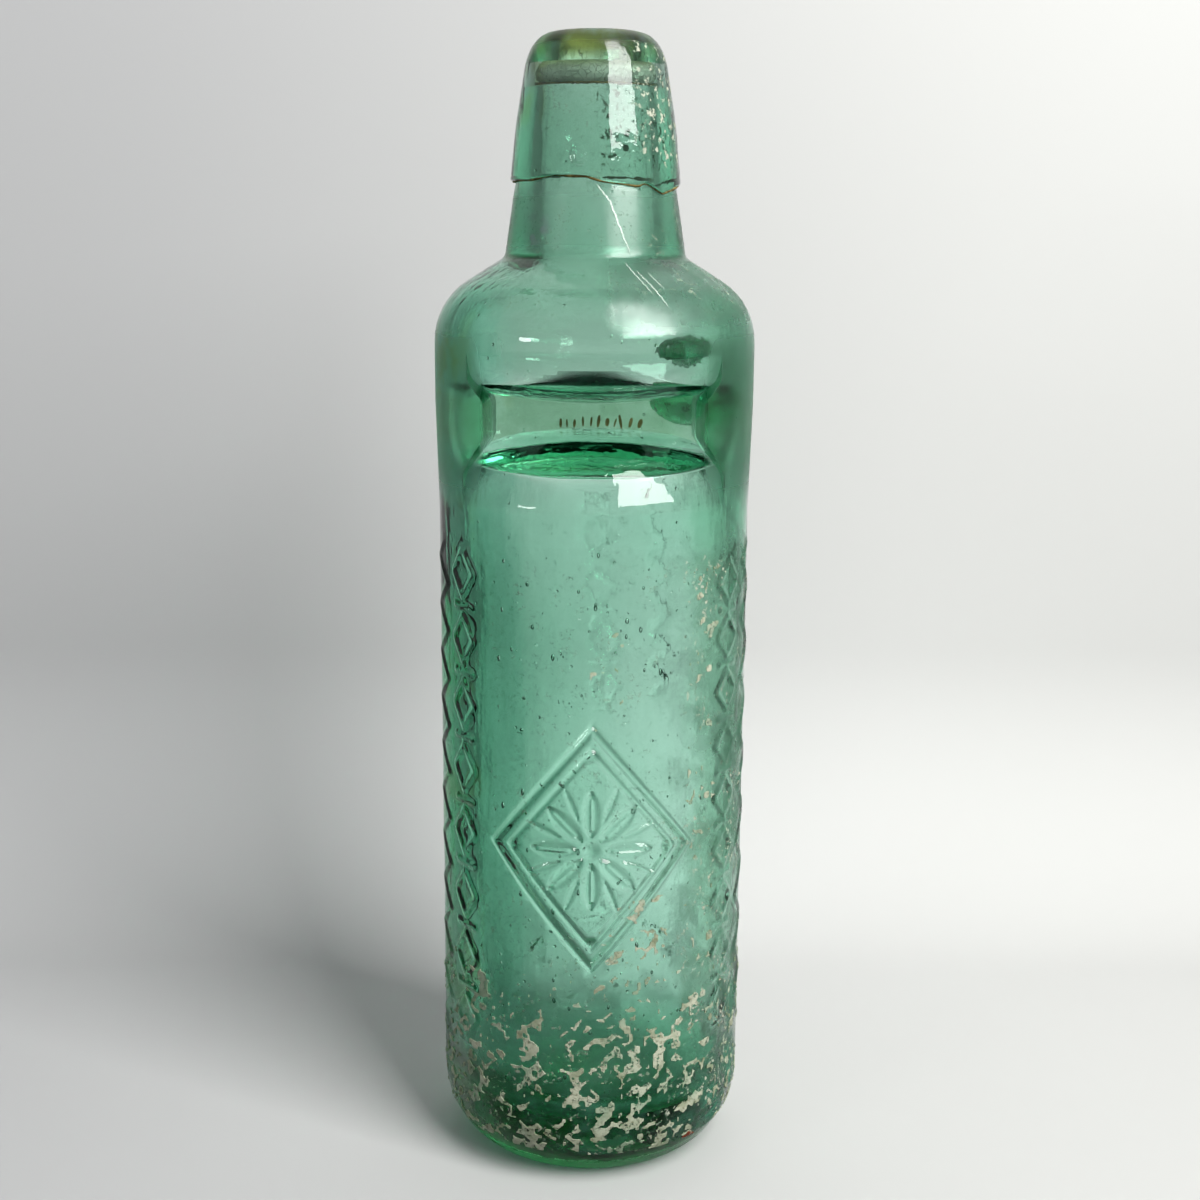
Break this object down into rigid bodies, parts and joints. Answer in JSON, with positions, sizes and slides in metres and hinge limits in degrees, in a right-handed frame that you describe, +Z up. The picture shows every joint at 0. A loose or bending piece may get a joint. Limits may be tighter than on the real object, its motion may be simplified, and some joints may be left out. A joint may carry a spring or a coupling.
{
  "type": "marble stopper bottle",
  "caption": "Thick aqua glass bottle with two pinched pockets, a marble in its chamber that seals from inside against a rubber ring in the lip, and a narrow mouth.",
  "frame": {"origin": "centre of the foot, on the surface that the bottle stands on", "axes": "+Z up along the bottle's axis, -Y out of the front pocket, +X to the right as seen from the front, which is the side where the marble lies"},
  "size_m": [0.0634, 0.0634, 0.2263],
  "materials": {
    "bottle_glass": "aqua glass, glossy, with seeds, wear and earth deposits",
    "marble_glass": "aqua green glass, lightly crusted",
    "ring_rubber": "aged grey rubber, dull"
  },
  "bodies": {
    "bottle": {"bottle_body": "bottle_glass", "applied_lip": "bottle_glass", "sealing_ring": "ring_rubber"},
    "marble": {"marble": "marble_glass"}
  },
  "joints": [
    {"name": "marble_roll", "type": "hinge", "parent": "bottle", "child": "marble", "pos_m": [0.05241, 0, 0.20166], "axis": [0, 1, 0], "range_deg": [0, 61.8]}
  ]
}
